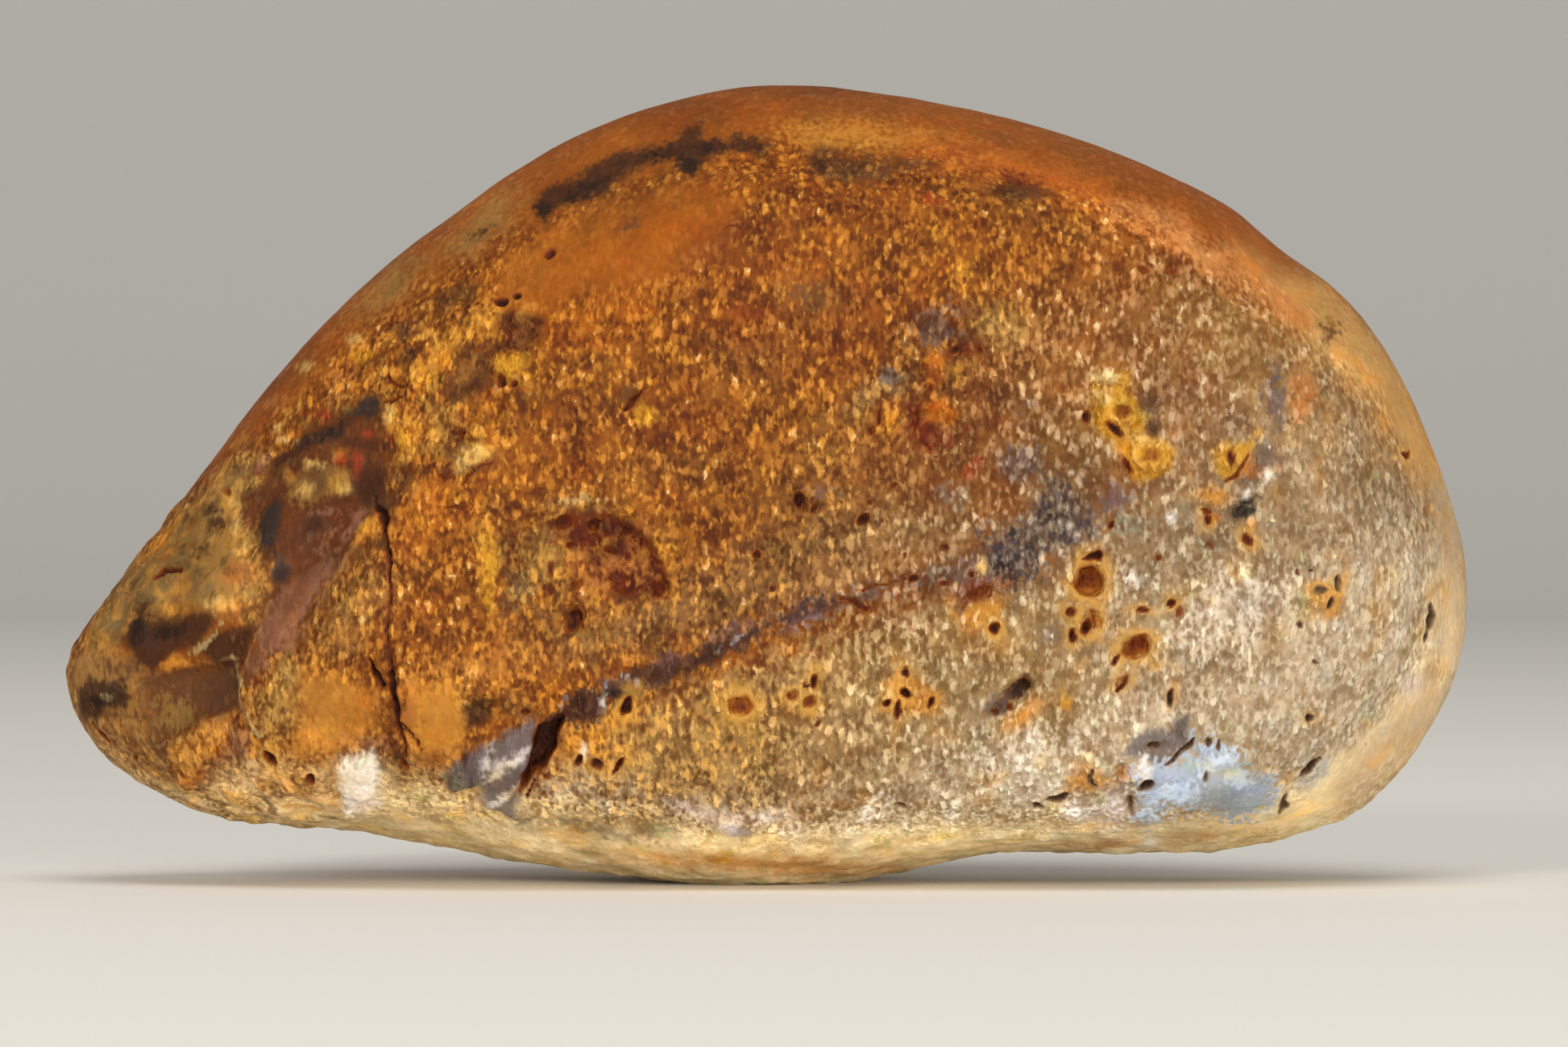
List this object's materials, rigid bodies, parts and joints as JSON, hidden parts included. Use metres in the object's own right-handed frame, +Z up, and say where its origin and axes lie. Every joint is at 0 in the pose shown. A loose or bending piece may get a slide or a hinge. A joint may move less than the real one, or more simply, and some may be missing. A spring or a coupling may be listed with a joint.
{
  "type": "agate nodule",
  "caption": "Waterworn brown jasper-agate nodule with a grainy flat front, a chipped nose at one end, round pits, cracks and a small flat spot to stand on.",
  "frame": {"origin": "on the small flat spot under the stone, below the middle of the outline", "axes": "+Z up, +X to the right as the front is seen with the nose on the left, and the grainy front faces -Y"},
  "size_m": [0.0697, 0.03, 0.0396],
  "materials": {
    "jasper": "satin, waxy where smooth and sugary where grainy"
  },
  "bodies": {
    "root": {"nodule": "jasper"}
  },
  "joints": []
}
